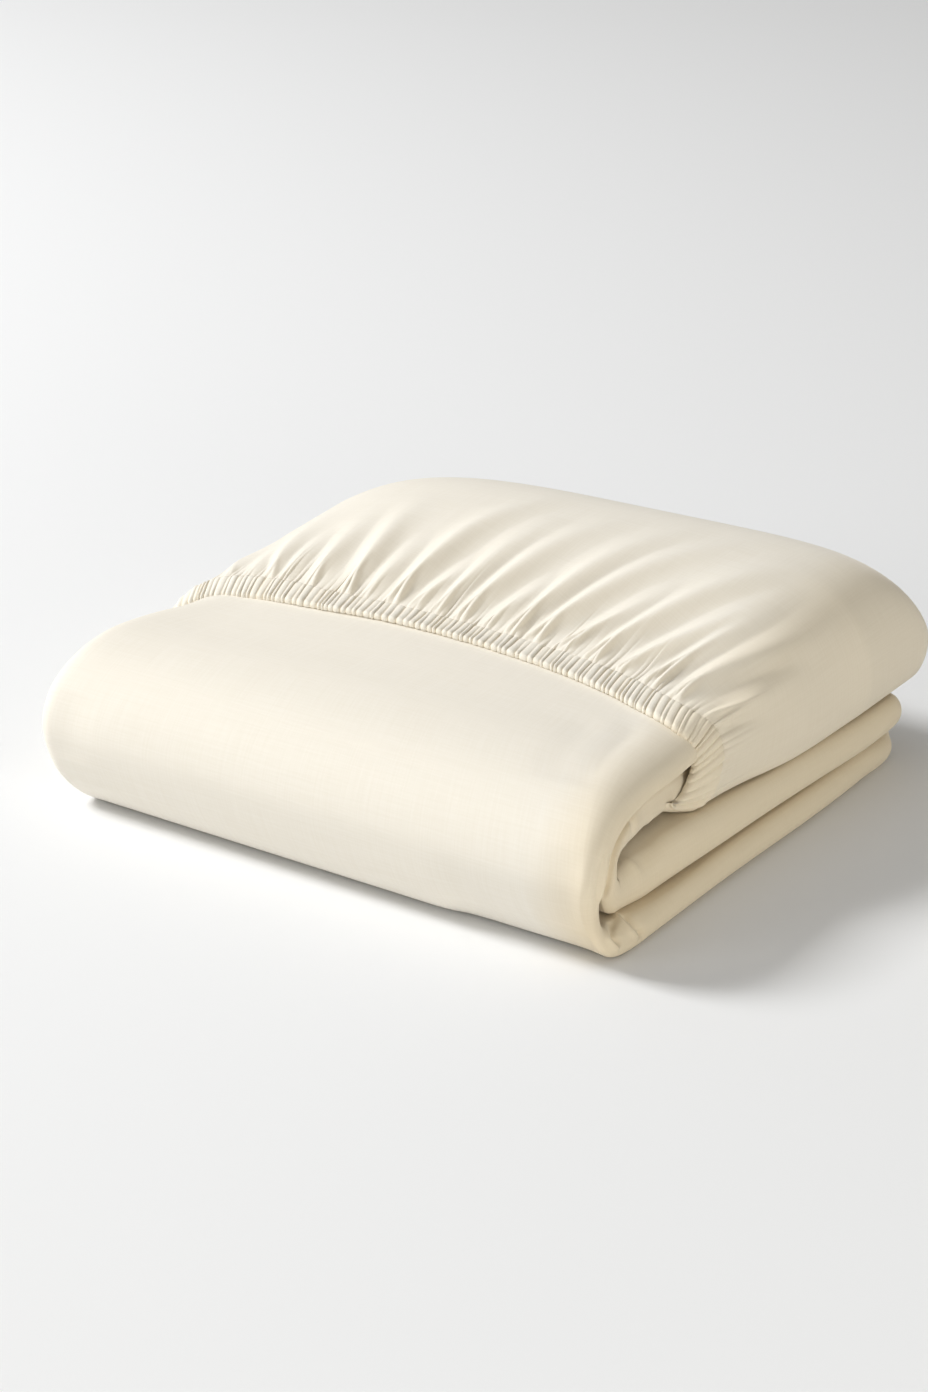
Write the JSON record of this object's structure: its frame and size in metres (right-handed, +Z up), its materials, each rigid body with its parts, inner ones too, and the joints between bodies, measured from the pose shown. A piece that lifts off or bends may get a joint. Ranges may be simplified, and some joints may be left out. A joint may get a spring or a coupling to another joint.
{
  "type": "folded fitted sheet",
  "caption": "Cream cotton fitted bed sheet folded into a flat bundle and tucked into its own gathered corner pocket, which closes over it with a ruched elastic casing.",
  "frame": {"origin": "on the floor under the middle of the bundle's footprint", "axes": "+Z up, +X along the long side with the front fold towards -Y, the pocket's back fold towards +Y"},
  "size_m": [0.3834, 0.3474, 0.1286],
  "materials": {
    "cotton": "smooth plain-woven cotton, matt with a faint sheen",
    "casing": "the same cotton, ruched over elastic and topstitched"
  },
  "bodies": {
    "root": {"sheet": "cotton", "elastic_casing": "casing"}
  },
  "joints": []
}
